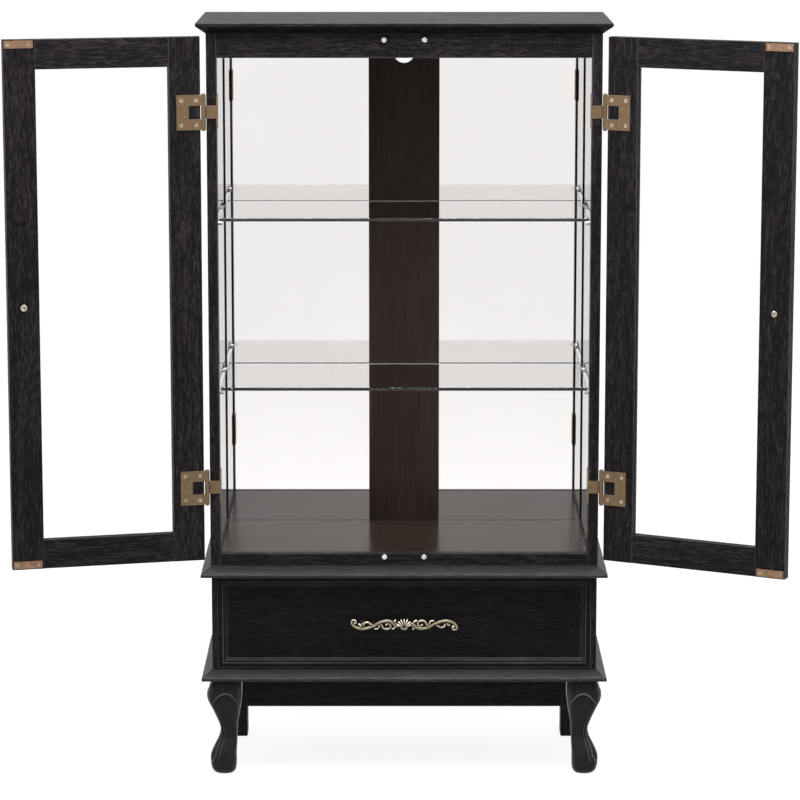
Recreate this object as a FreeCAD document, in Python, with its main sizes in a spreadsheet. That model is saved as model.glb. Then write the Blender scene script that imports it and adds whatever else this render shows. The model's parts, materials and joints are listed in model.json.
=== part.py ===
"""China cabinet with glass doors: a glazed display case on a one-drawer stand with cabriole legs.

Units are millimetres. X runs to the right, Y to the back and Z up. The origin is on the floor
under the middle of the case. The doors stand open, as they are shown to a customer.
"""
import FreeCAD, Part

import math
import os
import re

import Sketcher

DIMENSIONS = [
    ("total_height", 1150, "floor to the top of the cornice"),
    ("body_width", 588, "outside width of the glazed case"),
    ("stand_width", 586, "outside width of the drawer case"),
    ("body_depth", 258, "front of the stiles to the back of the sides"),
    ("board", 15, "thickness of the sides, rails and aprons"),
    ("moulding", 16, "thickness of the three moulded boards"),
    ("overhang", 15, "how far the moulded boards stand out"),
    ("moulding_edge", 4.5, "upright edge of a moulded board"),
    ("leg_height", 150, "floor to the underside of the base board"),
    ("stand_height", 146, "clear height of the drawer case"),
    ("deck_board", 18.5, "thickness of the deck"),
    ("header_height", 36, "height of the header and the side top rails"),
    ("side_rail_height", 34, "height of the side bottom rails"),
    ("side_stile", 38, "depth of the front and rear stiles"),
    ("glass_lap", 12, "how far the side glass lies over its frame"),
    ("side_glass_thick", 4, "thickness of the side glass"),
    ("glass_rebate", 5.5, "depth of the rebate that holds the side glass"),
    ("mirror_inset", 12, "back of the sides to the mirror face"),
    ("mirror_thick", 4, "thickness of a mirror"),
    ("back_thick", 5, "thickness of a back panel"),
    ("center_board_width", 110, "width of the upright board between the mirrors"),
    ("cable_hole", 32, "diameter of the cable hole"),
    ("cable_hole_height", 1087.5, "height of the cable hole's centre"),
    ("shelf_thick", 5, "thickness of a glass shelf"),
    ("shelf_gap", 3, "play between a shelf and the side glass"),
    ("shelf_setback", 18, "front of the stiles to the front of a shelf"),
    ("shelf_back_gap", 4, "play between a shelf and the mirrors"),
    ("lower_shelf_height", 594.5, "underside of the lower shelf"),
    ("upper_shelf_height", 852, "underside of the upper shelf"),
    ("pin_front", 31.5, "front of the stiles to the front pins"),
    ("pin_rear", 26, "back of the sides to the rear pins"),
    ("pin_hole", 5.4, "diameter of a pin hole"),
    ("magnet_diameter", 7.5, "diameter of a catch magnet"),
    ("magnet_length", 9, "length of a catch magnet"),
    ("magnet_offset", 30, "middle of the case to a catch magnet"),
    ("magnet_proud", 0.6, "how far a catch magnet stands out of its rail"),
    ("door_width", 292, "width of a door"),
    ("door_height", 792, "height of a door"),
    ("door_thick", 16, "thickness of a door"),
    ("door_bottom", 338, "underside of the doors"),
    ("door_stile", 47, "width of a door stile"),
    ("door_rail", 44, "height of a door rail"),
    ("door_gap", 2.5, "gap between the stiles and a closed door"),
    ("door_glass_thick", 4, "thickness of a door's glass"),
    ("glass_groove", 8, "depth of the groove for the door glass"),
    ("left_opening", 166, "how far the left door stands open, in degrees"),
    ("right_opening", 153, "how far the right door stands open, in degrees"),
    ("hinge_side", 298, "middle of the case to a hinge axis"),
    ("hinge_forward", 3, "front of the stiles to a hinge axis"),
    ("hinge_inset", 112, "door end to the middle of a hinge"),
    ("leaf_height", 52, "height of a door leaf"),
    ("leaf_width", 36, "width of a door leaf"),
    ("leaf_thick", 1.5, "thickness of the hinge metal"),
    ("leaf_notch_height", 20, "height of the notch in a door leaf"),
    ("leaf_notch_width", 18, "width of the notch in a door leaf"),
    ("frame_leaf_height", 50, "height of a frame leaf on the stile's inner face"),
    ("frame_leaf_depth", 24, "depth of a frame leaf on the stile's inner face"),
    ("strike_length", 42.5, "length of a strike plate"),
    ("strike_height", 11, "height of a strike plate"),
    ("strike_inset", 1.5, "door edge to a strike plate"),
    ("strike_thick", 1.2, "thickness of a strike plate"),
    ("screw_head", 6, "diameter of a hinge screw's head"),
    ("screw_shank", 3, "diameter of a hinge screw's shank"),
    ("screw_depth", 9, "how deep a hinge screw goes into the wood"),
    ("bolt_shank", 4, "diameter of a knob or pull screw"),
    ("barrel", 7, "diameter of a hinge barrel"),
    ("hinge_pin", 3, "diameter of a hinge pin"),
    ("pin_play", 0.1, "radial play between a hinge pin and a door knuckle"),
    ("knob_width", 27, "diameter of a door knob"),
    ("drawer_gap", 1, "gap round the drawer front"),
    ("drawer_front_thick", 16, "thickness of the drawer front"),
    ("front_rebate", 7.5, "how far the drawer front laps each side board"),
    ("drawer_side_thick", 12, "thickness of the drawer sides and back"),
    ("drawer_side_height", 110, "height of the drawer sides"),
    ("drawer_length", 220, "length of the drawer sides"),
    ("drawer_bottom_thick", 4, "thickness of the drawer bottom"),
    ("runner_space", 13, "room for a runner beside the drawer"),
    ("runner_height", 35, "height of a case runner"),
    ("pull_holes", 128, "distance between the pull's screws"),
    ("apron_height", 45, "height of the aprons"),
    ("leg_block", 50.5, "side of a front leg's square top"),
    ("leg_block_height", 58, "height of a front leg's square top"),
    ("rear_leg", 40, "side of a rear leg"),
]

doc = FreeCAD.newDocument("china_cabinet")
sheet = doc.addObject("Spreadsheet::Sheet", "Sizes")
for row, (alias, number, meaning) in enumerate(DIMENSIONS, start=1):
    sheet.set(f"A{row}", alias)
    sheet.set(f"B{row}", str(number))
    sheet.set(f"C{row}", meaning)
    sheet.setAlias(f"B{row}", alias)
doc.recompute()

ALIAS_WORD = re.compile(r"\b(" + "|".join(alias for alias, _, _ in DIMENSIONS) + r")\b")
PARTS = {}


def on_sheet(text):
    """An expression on the sheet's names, as FreeCAD wants it written."""
    return ALIAS_WORD.sub(r"Sizes.\1", str(text))


def size(alias):
    """The number that the sheet holds under this name."""
    return float(sheet.get(alias))


# Places that several pieces share, as expressions on the sheet.
FRONT = "(-body_depth / 2)"
BACK = "(body_depth / 2)"
SIDE_OUT = "(body_width / 2)"
SIDE_IN = "(body_width / 2 - board)"
STAND_OUT = "(stand_width / 2)"
STAND_IN = "(stand_width / 2 - board)"
STAND_FLOOR = "(leg_height + moulding)"
STAND_TOP = "(leg_height + moulding + stand_height)"
CASE_FLOOR = "(leg_height + 2 * moulding + stand_height)"
CASE_TOP = "(total_height - moulding)"
DECK_TOP = f"({CASE_FLOOR} + deck_board)"
MIRROR_FACE = f"({BACK} - mirror_inset)"
GLASS_OUT = "(body_width / 2 - board + glass_rebate)"
GLASS_IN = "(body_width / 2 - board + glass_rebate - side_glass_thick)"
GLASS_FLOOR = f"({CASE_FLOOR} + side_rail_height - glass_lap)"
GLASS_TOP = f"({CASE_TOP} - header_height + glass_lap)"
DOOR_INNER = f"({FRONT} - door_gap)"
DOOR_OUTER = f"({FRONT} - door_gap - door_thick)"
DOOR_HINGE_EDGE = "(body_width / 2 - 0.7)"
DOOR_FREE_EDGE = "(body_width / 2 - 0.7 - door_width)"
DOOR_TOP = "(door_bottom + door_height)"


def keep(label, piece):
    """Name a finished sub-part and list it for writing."""
    piece.Label = label
    PARTS[label] = piece
    return piece


def bind(piece, prop, text):
    piece.setExpression(prop, on_sheet(text))


def block(name, x_span, y_span, z_span):
    """A rectangular board between two corners, each given as a pair of expressions."""
    box = doc.addObject("Part::Box", name)
    for prop, axis, (low, high) in zip(("Length", "Width", "Height"), "xyz", (x_span, y_span, z_span)):
        bind(box, prop, f"({high}) - ({low})")
        bind(box, f"Placement.Base.{axis}", low)
    return box


TURNS = {
    "x": FreeCAD.Rotation(FreeCAD.Vector(0, 1, 0), 90),
    "-x": FreeCAD.Rotation(FreeCAD.Vector(0, 1, 0), -90),
    "y": FreeCAD.Rotation(FreeCAD.Vector(1, 0, 0), -90),
    "z": FreeCAD.Rotation(),
}


def rod(name, axis, start, diameter, length):
    """A cylinder that runs along x, -x, y or z from its start point."""
    cylinder = doc.addObject("Part::Cylinder", name)
    cylinder.Placement.Rotation = TURNS[axis]
    bind(cylinder, "Radius", f"({diameter}) / 2")
    bind(cylinder, "Height", length)
    for letter, place in zip("xyz", start):
        bind(cylinder, f"Placement.Base.{letter}", place)
    return cylinder


def joined(name, pieces):
    fuse = doc.addObject("Part::MultiFuse", name)
    fuse.Shapes = pieces
    return fuse


def cut(name, base, tools):
    """The base piece with every tool taken away."""
    result = doc.addObject("Part::Cut", name)
    result.Base = base
    result.Tool = tools[0] if len(tools) == 1 else joined(name + "_tools", tools)
    return result


def group(label, members):
    """Like pieces that share one node, each a solid of its own."""
    compound = doc.addObject("Part::Compound", label)
    compound.Links = members
    return keep(label, compound)


def sided(side, inner, outer):
    """The x span between two distances from the middle, on the left (-1) or right (+1)."""
    if side > 0:
        return (inner, outer)
    return (f"-({outer})", f"-({inner})")


SIDES = (("left", -1), ("right", 1))


# ---- PartDesign helpers -------------------------------------------------------------------

def new_body(label):
    return keep(label, doc.addObject("PartDesign::Body", label))


def sketch_on(body, name, role):
    """A sketch on one of the body's own origin planes."""
    plane = [feature for feature in body.Origin.OriginFeatures if feature.Role == role][0]
    sketch = body.newObject("Sketcher::SketchObject", name)
    sketch.AttachmentSupport = [(plane, "")]
    sketch.MapMode = "FlatFace"
    return sketch


def draw_rectangle(sketch, tag, left, bottom, width, height):
    """A rectangle whose four sizes are bound to the sheet; all four are positive."""
    first = sketch.GeometryCount
    corners = [(1, 1), (11, 1), (11, 11), (1, 11)]
    for start, end in zip(corners, corners[1:] + corners[:1]):
        line = Part.LineSegment(FreeCAD.Vector(*start, 0), FreeCAD.Vector(*end, 0))
        sketch.addGeometry(line, False)
    for index in range(4):
        after = (index + 1) % 4
        sketch.addConstraint(Sketcher.Constraint("Coincident", first + index, 2, first + after, 1))
        kind = "Horizontal" if index % 2 == 0 else "Vertical"
        sketch.addConstraint(Sketcher.Constraint(kind, first + index))
    for word, kind, ends, text in (
        ("left", "DistanceX", (-1, 1, first, 1), left),
        ("bottom", "DistanceY", (-1, 1, first, 1), bottom),
        ("width", "DistanceX", (first, 1, first, 2), width),
        ("height", "DistanceY", (first + 1, 1, first + 1, 2), height),
    ):
        number = sketch.addConstraint(Sketcher.Constraint(kind, *ends, 10.0))
        sketch.renameConstraint(number, tag + "_" + word)
        bind(sketch, f"Constraints.{tag}_{word}", text)


def pad(body, sketch, length):
    feature = body.newObject("PartDesign::Pad", body.Name + "_pad")
    feature.Profile = sketch
    bind(feature, "Length", length)
    body.Tip = feature
    return feature


def pocket(body, sketch, name, depth, reverse):
    """Cut the sketch's area into the body, and check that something was cut."""
    doc.recompute()
    before = body.Shape.Volume
    feature = body.newObject("PartDesign::Pocket", name)
    feature.Profile = sketch
    feature.Reversed = reverse
    bind(feature, "Length", depth)
    body.Tip = feature
    doc.recompute()
    if not body.Shape.Volume < before - 1:
        raise RuntimeError(f"{name} cuts nothing")
    return feature


def place(piece, x_place, y_place, z_place):
    for letter, text in zip("xyz", (x_place, y_place, z_place)):
        bind(piece, f"Placement.Base.{letter}", text)


def revolved(name, profile, axis_name):
    """A solid turned about the z axis from (radius, height) points, as a Part shape."""
    points = [FreeCAD.Vector(radius, 0, height) for radius, height in profile]
    wire = Part.makePolygon(points + points[:1])
    solid = Part.Face(wire).revolve(FreeCAD.Vector(), FreeCAD.Vector(0, 0, 1), 360)
    if axis_name == "x":
        solid = solid.transformed(FreeCAD.Placement(FreeCAD.Vector(), TURNS["x"]).toMatrix())
    if axis_name == "y":
        solid = solid.transformed(FreeCAD.Placement(FreeCAD.Vector(), TURNS["y"]).toMatrix())
    return solid


# ---- Moulded boards -----------------------------------------------------------------------

def moulded_board(label, floor, slope_on_top):
    """A board that stands out at the front and sides, with a long bevel on those three edges."""
    body = new_body(label)
    outline = sketch_on(body, label + "_outline", "XY_Plane")
    draw_rectangle(outline, "board", "0", "0", "body_width + 2 * overhang", "body_depth + overhang")
    slab = pad(body, outline, "moulding")
    place(body, "-body_width / 2 - overhang", f"{FRONT} - overhang", floor)
    doc.recompute()
    level = size("moulding") if slope_on_top else 0
    width = size("body_width") + 2 * size("overhang")
    edges = []
    for number, edge in enumerate(slab.Shape.Edges, start=1):
        middle = edge.CenterOfMass
        at_front = abs(middle.y) < 0.01
        at_side = abs(middle.x) < 0.01 or abs(middle.x - width) < 0.01
        if abs(middle.z - level) < 0.01 and (at_front or at_side):
            edges.append(f"Edge{number}")
    bevel = body.newObject("PartDesign::Chamfer", label + "_bevel")
    bevel.Base = (slab, edges)
    bevel.ChamferType = "Two distances"
    bevel.Size = size("overhang")
    bevel.Size2 = size("moulding") - size("moulding_edge")
    body.Tip = bevel
    doc.recompute()
    # The long side of the bevel lies across the board, so the flat left is the case's outline.
    flats = [face for face in body.Shape.Faces if abs(abs(face.normalAt(0, 0).z) - 1) < 1e-6]
    flat = min(flats, key=lambda face: face.Area)
    if abs(flat.BoundBox.XLength - size("body_width")) > 0.1:
        bevel.FlipDirection = True
        doc.recompute()
    return body


def moulded_boards():
    moulded_board("cornice_board", CASE_TOP, False)
    moulded_board("middle_board", f"({STAND_TOP})", True)
    moulded_board("base_board", "leg_height", True)


# ---- Glazed case --------------------------------------------------------------------------

def pin_places():
    """The (name, y, z) of every shelf pin on one side."""
    rows = (("front", f"{FRONT} + pin_front"), ("rear", f"{BACK} - pin_rear"))
    shelves = (("lower", "lower_shelf_height - 3.5"), ("upper", "upper_shelf_height - 3.5"))
    return [(f"{shelf}_{row}", y, z) for shelf, z in shelves for row, y in rows]


def pin_bores(name, side, row, inner, outer):
    """The holes for the shelf pins of one row."""
    tools = []
    for tag, y, z in pin_places():
        if row in tag:
            span = sided(side, inner, outer)
            length = f"({span[1]}) - ({span[0]})"
            tools.append(rod(f"{name}_{tag}", "x", (span[0], y, z), "pin_hole", length))
    return tools


def side_frame(word, side):
    """The stiles and rails that hold one side glass, and the glass itself."""
    rebate_x = sided(side, f"{SIDE_IN} - 1", GLASS_OUT)
    front_end = f"({FRONT} + side_stile)"
    rear_end = f"({BACK} - side_stile)"
    glass_front = f"({front_end} - glass_lap)"
    glass_z = (GLASS_FLOOR, GLASS_TOP)
    full_x = sided(side, SIDE_IN, SIDE_OUT)

    stile = block(f"{word}_front_post", full_x, (FRONT, front_end), (CASE_FLOOR, CASE_TOP))
    rebate = block(f"{word}_front_rebate", rebate_x, (glass_front, f"{front_end} + 1"), glass_z)
    bores = pin_bores(f"{word}_front_bore", side, "front", SIDE_IN, f"{GLASS_OUT} + 5")
    bores += hinge_screw_bores(word, side)
    keep(f"{word}_front_stile", cut(f"{word}_front_cut", stile, [rebate] + bores))

    stile = block(f"{word}_rear_post", full_x, (rear_end, BACK), (CASE_FLOOR, CASE_TOP))
    rebate = block(f"{word}_rear_rebate", rebate_x, (f"{rear_end} - 1", MIRROR_FACE), glass_z)
    bores = pin_bores(f"{word}_rear_bore", side, "rear", SIDE_IN, f"{GLASS_OUT} + 5")
    keep(f"{word}_rear_stile", cut(f"{word}_rear_cut", stile, [rebate] + bores))

    rails = (
        ("bottom", (CASE_FLOOR, f"{CASE_FLOOR} + side_rail_height")),
        ("top", (f"{CASE_TOP} - header_height", CASE_TOP)),
    )
    members = []
    for place_word, z_span in rails:
        rail = block(f"{word}_{place_word}_bar", full_x, (front_end, rear_end), z_span)
        rebate_y = (f"{front_end} - 1", f"{rear_end} + 1")
        rebate = block(f"{word}_{place_word}_rebate", rebate_x, rebate_y, glass_z)
        members.append(cut(f"{word}_{place_word}_rail", rail, [rebate]))
    group(f"{word}_side_rails", members)

    pane = block(f"{word}_pane", sided(side, GLASS_IN, GLASS_OUT), (glass_front, MIRROR_FACE), glass_z)
    bores = pin_bores(f"{word}_glass_bore_f", side, "front", f"{GLASS_IN} - 1", f"{GLASS_OUT} + 1")
    bores += pin_bores(f"{word}_glass_bore_r", side, "rear", f"{GLASS_IN} - 1", f"{GLASS_OUT} + 1")
    keep(f"{word}_side_glass", cut(f"{word}_pane_cut", pane, bores))


def magnet_rows():
    """The (name, z) of the catch magnets at the header and at the deck rail."""
    half_strike = "5.5"
    return (("top", f"{DOOR_TOP} - {half_strike}"), ("bottom", f"door_bottom + {half_strike} - 2"))


def front_rails():
    """Header rail and deck rail, each with two holes for the catch magnets."""
    spans = {
        "top": ("header_rail", (f"{CASE_TOP} - header_height", CASE_TOP)),
        "bottom": ("deck_rail", (CASE_FLOOR, DECK_TOP)),
    }
    face = f"({FRONT} + 1)"
    for row, z in magnet_rows():
        label, z_span = spans[row]
        x_span = (f"-{SIDE_IN}", SIDE_IN)
        bar = block(label + "_bar", x_span, (face, f"{face} + board"), z_span)
        tools = []
        for word, side in SIDES:
            start = (f"{side} * magnet_offset", f"{face} - magnet_proud", z)
            tools.append(rod(f"{label}_{word}_bore", "y", start, "magnet_diameter", "magnet_length"))
        keep(label, cut(label + "_cut", bar, tools))


def catch_magnets():
    magnets = []
    for row, z in magnet_rows():
        for word, side in SIDES:
            start = (f"{side} * magnet_offset", f"{FRONT} + 1 - magnet_proud", z)
            magnets.append(rod(f"{row}_{word}_magnet", "y", start, "magnet_diameter", "magnet_length"))
    group("catch_magnets", magnets)


def deck():
    x_span = (f"-{SIDE_IN}", SIDE_IN)
    keep("deck_panel", block("deck_panel", x_span, (f"{FRONT} + 1 + board", MIRROR_FACE), (CASE_FLOOR, DECK_TOP)))


def back():
    """Two mirrors, the upright board between them and the thin panel behind."""
    half = "(center_board_width / 2)"
    mirror_y = (MIRROR_FACE, f"{MIRROR_FACE} + mirror_thick")
    for word, side in SIDES:
        span = sided(side, half, SIDE_IN)
        keep(f"{word}_mirror", block(f"{word}_mirror", span, mirror_y, (DECK_TOP, CASE_TOP)))
    board = block(
        "center_board_blank",
        (f"-{half}", half),
        mirror_y,
        (DECK_TOP, CASE_TOP),
    )
    hole_start = ("0", f"{BACK} - 40", "cable_hole_height")
    hole = rod("center_board_hole", "y", hole_start, "cable_hole", "60")
    keep("center_board", cut("center_board_cut", board, [hole]))
    panel_y = (f"{MIRROR_FACE} + mirror_thick", f"{MIRROR_FACE} + mirror_thick + back_thick")
    panel = block("back_panel_blank", (f"-{SIDE_IN}", SIDE_IN), panel_y, (CASE_FLOOR, CASE_TOP))
    hole = rod("back_panel_hole", "y", hole_start, "cable_hole", "60")
    keep("back_panel", cut("back_panel_cut", panel, [hole]))


def shelves():
    half = f"({GLASS_IN} - shelf_gap)"
    y_span = (f"{FRONT} + shelf_setback", f"{MIRROR_FACE} - shelf_back_gap")
    for word in ("lower", "upper"):
        floor = f"{word}_shelf_height"
        label = f"{word}_glass_shelf"
        keep(label, block(label, (f"-{half}", half), y_span, (floor, f"{floor} + shelf_thick")))


def shelf_pins():
    """Eight turned pins: a shank in the stile, a collar on the glass and a peg under the shelf."""
    half_width = size("body_width") / 2
    glass_in = half_width - size("board") + size("glass_rebate") - size("side_glass_thick")
    glass_out = glass_in + size("side_glass_thick")
    shank = 2.5
    peg = 3.5
    collar = 5
    collar_thick = 1
    peg_length = 8
    shank_end = glass_out - glass_in + 4
    profile = [
        (0, -peg_length),
        (peg, -peg_length),
        (peg, -collar_thick),
        (collar, -collar_thick),
        (collar, 0),
        (shank, 0),
        (shank, shank_end),
        (0, shank_end),
    ]
    pin = revolved("shelf_pin", profile, "x")
    front_y = -size("body_depth") / 2 + size("pin_front")
    rear_y = size("body_depth") / 2 - size("pin_rear")
    solids = []
    for shelf in ("lower", "upper"):
        height = size(f"{shelf}_shelf_height") - peg
        for y in (front_y, rear_y):
            for _, side in SIDES:
                one = pin.copy()
                if side < 0:
                    one.rotate(FreeCAD.Vector(), FreeCAD.Vector(0, 0, 1), 180)
                one.translate(FreeCAD.Vector(side * glass_in, y, height))
                solids.append(one)
    feature = doc.addObject("Part::Feature", "shelf_pins")
    feature.Shape = Part.makeCompound(solids)
    keep("shelf_pins", feature)


# ---- Doors --------------------------------------------------------------------------------

def hinge_heights():
    return (("lower", "(door_bottom + hinge_inset)"), ("upper", f"({DOOR_TOP} - hinge_inset)"))


def screw_along(rod_piece, head_diameter, head_thick):
    """A cross-recess screw that fills a pilot bore, its head at the bore's far end."""
    shank = Part.makeCylinder(rod_piece.Radius.Value, rod_piece.Height.Value)
    top = rod_piece.Height.Value + head_thick
    head = Part.makeCylinder(head_diameter / 2, head_thick, FreeCAD.Vector(0, 0, rod_piece.Height.Value))
    solid = shank.fuse(head).removeSplitter()
    slot_length = head_diameter * 0.6
    slot_width = head_diameter * 0.13
    slot_depth = head_thick * 0.5
    for length, width in ((slot_length, slot_width), (slot_width, slot_length)):
        corner = FreeCAD.Vector(-length / 2, -width / 2, top - slot_depth)
        solid = solid.cut(Part.makeBox(length, width, slot_depth + 1, corner))
    solid.Placement = rod_piece.Placement
    return solid


def screws(label, kinds):
    """One node with a screw in every pilot bore, from (bores, head diameter, head thickness)."""
    doc.recompute()
    feature = doc.addObject("Part::Feature", label)
    feature.Shape = Part.makeCompound(
        [screw_along(one, diameter, thick) for bores, diameter, thick in kinds for one in bores]
    )
    return keep(label, feature)


FRAME_PILOTS = []


def hinge_screw_bores(word, side):
    """Pilot bores in the front stile for the screws of both frame leaves."""
    bores = []
    axis = "-x" if side > 0 else "x"
    for tag, height in hinge_heights():
        for sign in (-1, 1):
            start = (
                f"{side} * ({SIDE_IN} + screw_depth)",
                f"{FRONT} + frame_leaf_depth / 2",
                f"{height} + {sign} * frame_leaf_height * 0.36",
            )
            name = f"{word}_{tag}_frame_pilot_{'up' if sign > 0 else 'down'}"
            bores.append(rod(name, axis, start, "screw_shank", "screw_depth"))
    FRAME_PILOTS.extend(bores)
    return bores


def frame_leaf(word, side, tag, height):
    """The frame half of a hinge: knuckle, tab over the stile's front edge, plate on its inner face."""
    name = f"{word}_{tag}_frame_leaf"
    half_tab = "(leaf_notch_height / 2 - 0.5)"
    tab_y = (f"{FRONT} - leaf_thick", FRONT)
    tab = block(
        name + "_tab",
        sided(side, f"{SIDE_IN} - leaf_thick", "hinge_side"),
        tab_y,
        (f"{height} - {half_tab}", f"{height} + {half_tab}"),
    )
    plate = block(
        name + "_plate",
        sided(side, f"{SIDE_IN} - leaf_thick", SIDE_IN),
        (FRONT, f"{FRONT} + frame_leaf_depth"),
        (f"{height} - frame_leaf_height / 2", f"{height} + frame_leaf_height / 2"),
    )
    axis_point = (f"{side} * hinge_side", f"{FRONT} - hinge_forward", f"{height} - {half_tab}")
    knuckle = rod(name + "_knuckle", "z", axis_point, "barrel", f"2 * {half_tab}")
    bore = rod(name + "_bore", "z", axis_point, "hinge_pin", f"2 * {half_tab}")
    holes = [bore]
    for sign in (-1, 1):
        start = (
            f"{side} * {SIDE_IN} - 3",
            f"{FRONT} + frame_leaf_depth / 2",
            f"{height} + {sign} * frame_leaf_height * 0.36",
        )
        holes.append(rod(f"{name}_hole_{'up' if sign > 0 else 'down'}", "x", start, "screw_head", "6"))
    return cut(name, joined(name + "_solid", [tab, plate, knuckle]), holes)


def door_turn(side):
    """Where a door's pieces go when the door swings from closed to its rest opening."""
    word = "right" if side > 0 else "left"
    pivot = FreeCAD.Vector(
        side * size("hinge_side"), -size("body_depth") / 2 - size("hinge_forward"), 0
    )
    angle = side * size(f"{word}_opening")
    return FreeCAD.Placement(
        FreeCAD.Vector(), FreeCAD.Rotation(FreeCAD.Vector(0, 0, 1), angle), pivot
    )


def hang(label, piece, side):
    """Keep a door's piece, turned with the door to its rest opening."""
    piece.Placement = door_turn(side).multiply(piece.Placement)
    return keep(label, piece)


def leaf_screw_spots(height):
    """The (x from the middle, z) of a door leaf's four screws."""
    return [
        (f"{DOOR_HINGE_EDGE} - {inset}", f"{height} + {sign} * 18.5")
        for inset in (6.5, 29)
        for sign in (-1, 1)
    ]


def inner_face_pilots(name, side, spots, depth, diameter):
    """Bores that go into the door's inner face, their open ends at that face."""
    return [
        rod(f"{name}_{number}", "y", (f"{side} * ({x})", f"{DOOR_INNER} - {depth}", z), diameter, depth)
        for number, (x, z) in enumerate(spots, start=1)
    ]


def door_leaf(word, side, tag, height):
    """The door half of a hinge: a U-shaped plate with a knuckle at each end of its barrel."""
    name = f"{word}_{tag}_door_leaf"
    plate_y = (DOOR_INNER, f"{DOOR_INNER} + leaf_thick")
    z_span = (f"{height} - leaf_height / 2", f"{height} + leaf_height / 2")
    plate = block(
        name + "_plate", sided(side, f"{DOOR_HINGE_EDGE} - leaf_width", "hinge_side"), plate_y, z_span
    )
    axis_point = (f"{side} * hinge_side", f"{FRONT} - hinge_forward", z_span[0])
    barrel = rod(name + "_barrel", "z", axis_point, "barrel", "leaf_height")
    bore = rod(name + "_bore", "z", axis_point, "hinge_pin + 2 * pin_play", "leaf_height")
    notch = block(
        name + "_notch",
        sided(side, f"{DOOR_HINGE_EDGE} - leaf_notch_width", "hinge_side + barrel"),
        (f"{DOOR_INNER} - barrel", f"{DOOR_INNER} + barrel"),
        (f"{height} - leaf_notch_height / 2", f"{height} + leaf_notch_height / 2"),
    )
    holes = inner_face_pilots(name + "_hole", side, leaf_screw_spots(height), "2", "screw_head")
    for hole in holes:
        bind(hole, "Height", "5")
    return cut(name, joined(name + "_solid", [plate, barrel]), [bore, notch] + holes)


def hinge_pins():
    """Four pins with a low button at each end, one on each hinge axis."""
    radius = size("hinge_pin") / 2
    button = radius + 1.2
    half = size("leaf_height") / 2
    reach = half + 1.9
    profile = [
        (0, -reach),
        (button - 0.8, -reach),
        (button, -reach + 0.8),
        (button, -half - 0.3),
        (radius, -half - 0.3),
        (radius, half + 0.3),
        (button, half + 0.3),
        (button, reach - 0.8),
        (button - 0.8, reach),
        (0, reach),
    ]
    pin = revolved("hinge_pin", profile, "z")
    lower = size("door_bottom") + size("hinge_inset")
    upper = size("door_bottom") + size("door_height") - size("hinge_inset")
    solids = []
    for _, side in SIDES:
        for height in (lower, upper):
            one = pin.copy()
            one.translate(
                FreeCAD.Vector(
                    side * size("hinge_side"),
                    -size("body_depth") / 2 - size("hinge_forward"),
                    height,
                )
            )
            solids.append(one)
    feature = doc.addObject("Part::Feature", "hinge_pins")
    feature.Shape = Part.makeCompound(solids)
    keep("hinge_pins", feature)


def strike_rows():
    return (
        ("top", (f"{DOOR_TOP} - strike_inset - strike_height", f"{DOOR_TOP} - strike_inset")),
        ("bottom", ("door_bottom + strike_inset", "door_bottom + strike_inset + strike_height")),
    )


def strike_spots():
    """The (x from the middle, z) of the screws of both strike plates of a door."""
    spots = []
    for _, (low, high) in strike_rows():
        for inset in (5.5, 37):
            spots.append((f"{DOOR_FREE_EDGE} + strike_inset + {inset}", f"({low} + {high}) / 2"))
    return spots


def strike_plates(word, side, spots):
    """The two plates that the catch magnets hold, at the free corners of the inner face."""
    x_span = sided(
        side, f"{DOOR_FREE_EDGE} + strike_inset", f"{DOOR_FREE_EDGE} + strike_inset + strike_length"
    )
    plates = []
    for tag, z_span in strike_rows():
        name = f"{word}_{tag}_strike"
        plate = block(name + "_blank", x_span, (DOOR_INNER, f"{DOOR_INNER} + strike_thick"), z_span)
        chosen = spots[:2] if tag == "top" else spots[2:]
        holes = inner_face_pilots(name + "_hole", side, chosen, "2", "screw_head - 1")
        for hole in holes:
            bind(hole, "Height", "5")
        plates.append(cut(name, plate, holes))
    hang(f"{word}_strike_plates", group(f"{word}_strike_plates", plates), side)


def knob(word, side, spot):
    """A turned knob on the outer face; its screw's bore is given back."""
    name = f"{word}_knob"
    reach = 26
    radius = size("knob_width") / 2
    profile = [
        (0, 0),
        (9, 0),
        (9, -1.5),
        (6.5, -3),
        (5.5, -7),
        (6.5, -10),
        (11, -12.5),
        (radius, -16.5),
        (radius - 0.8, -20),
        (radius - 4, -23.6),
        (6, -25.6),
        (0, -reach),
    ]
    solid = revolved(name, profile, "y")
    thread = 12
    solid = solid.cut(
        Part.makeCylinder(size("bolt_shank") / 2, thread, FreeCAD.Vector(), FreeCAD.Vector(0, -1, 0))
    )
    doc.recompute()
    pilot = rod(
        f"{name}_pilot",
        "y",
        (f"{side} * ({spot[0]})", f"{DOOR_OUTER} - {thread}", spot[1]),
        "bolt_shank",
        f"door_thick + {thread}",
    )
    feature = doc.addObject("Part::Feature", name)
    doc.recompute()
    base = pilot.Placement.Base
    solid.translate(FreeCAD.Vector(base.x, base.y + thread, base.z))
    feature.Shape = solid
    hang(name, feature, side)
    return pilot


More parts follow.
